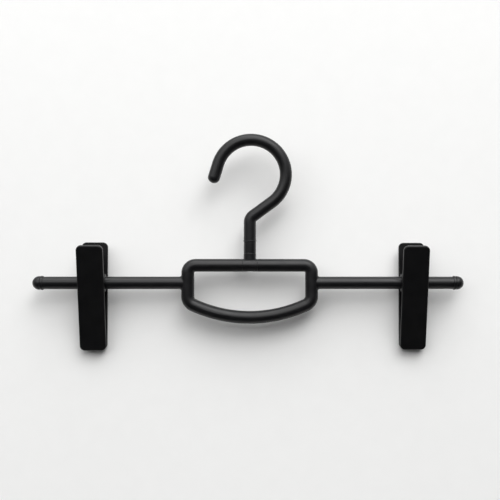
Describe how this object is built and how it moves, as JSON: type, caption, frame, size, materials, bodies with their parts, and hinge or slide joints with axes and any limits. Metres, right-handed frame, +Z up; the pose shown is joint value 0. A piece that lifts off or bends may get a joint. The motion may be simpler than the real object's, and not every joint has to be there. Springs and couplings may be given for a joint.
{
  "type": "skirt hanger",
  "caption": "Black bar hanger with a swivel hook, an open centre frame and a sliding spring clip on each side for skirts and trousers.",
  "frame": {"origin": "Inside top of the hook, where a closet rod sits, on the axis of the hook's stem.", "axes": "+X along the bars to the right clip, +Y to the rear, +Z up; the front faces -Y."},
  "size_m": [0.358, 0.0303, 0.1805],
  "materials": {
    "rod_plastic": "satin black moulded plastic",
    "plate_plastic": "matte black moulded plastic",
    "nylon": "black moulded nylon",
    "plated_steel": "black zinc-plated steel",
    "spring_steel": "plated spring wire",
    "grip_rubber": "soft black rubber"
  },
  "bodies": {
    "hook_assembly": {"hook": "rod_plastic", "swivel_pin": "plated_steel", "thrust_washer": "nylon"},
    "frame_assembly": {"frame": "rod_plastic", "neck_collar": "rod_plastic", "left_bar": "rod_plastic", "right_bar": "rod_plastic", "left_end_cap": "rod_plastic", "right_end_cap": "rod_plastic"},
    "left_clip_slider": {"left_clip_sleeve": "nylon"},
    "left_clip_rear": {"left_clip_rear_jaw": "plate_plastic", "left_clip_rear_pad": "grip_rubber", "left_clip_spring": "spring_steel"},
    "left_clip_front": {"left_clip_front_jaw": "plate_plastic", "left_clip_front_pad": "grip_rubber"},
    "right_clip_slider": {"right_clip_sleeve": "nylon"},
    "right_clip_rear": {"right_clip_rear_jaw": "plate_plastic", "right_clip_rear_pad": "grip_rubber", "right_clip_spring": "spring_steel"},
    "right_clip_front": {"right_clip_front_jaw": "plate_plastic", "right_clip_front_pad": "grip_rubber"}
  },
  "joints": [
    {"name": "hook_swivel", "type": "hinge", "parent": "hook_assembly", "child": "frame_assembly", "pos_m": [0, 0, -0.0801], "axis": [0, 0, 1], "continuous": true},
    {"name": "left_clip_slide", "type": "slide", "parent": "frame_assembly", "child": "left_clip_slider", "axis": [1, 0, 0], "range_m": [-0.0296, 0.0607]},
    {"name": "left_clip_swing", "type": "hinge", "parent": "left_clip_slider", "child": "left_clip_rear", "pos_m": [-0.1297, 0, -0.11435], "axis": [1, 0, 0], "continuous": true},
    {"name": "left_clip_open", "type": "hinge", "parent": "left_clip_rear", "child": "left_clip_front", "pos_m": [-0.1297, 0, -0.11435], "axis": [-1, 0, 0], "range_deg": [0, 34], "stiffness_Nm_per_rad": 0.45, "springref_deg": -22.92, "deforming": ["left_clip_spring"]},
    {"name": "right_clip_slide", "type": "slide", "parent": "frame_assembly", "child": "right_clip_slider", "axis": [1, 0, 0], "range_m": [-0.0677, 0.0226]},
    {"name": "right_clip_swing", "type": "hinge", "parent": "right_clip_slider", "child": "right_clip_rear", "pos_m": [0.1367, 0, -0.11435], "axis": [1, 0, 0], "continuous": true},
    {"name": "right_clip_open", "type": "hinge", "parent": "right_clip_rear", "child": "right_clip_front", "pos_m": [0.1367, 0, -0.11435], "axis": [-1, 0, 0], "range_deg": [0, 34], "stiffness_Nm_per_rad": 0.45, "springref_deg": -22.92, "deforming": ["right_clip_spring"]}
  ]
}
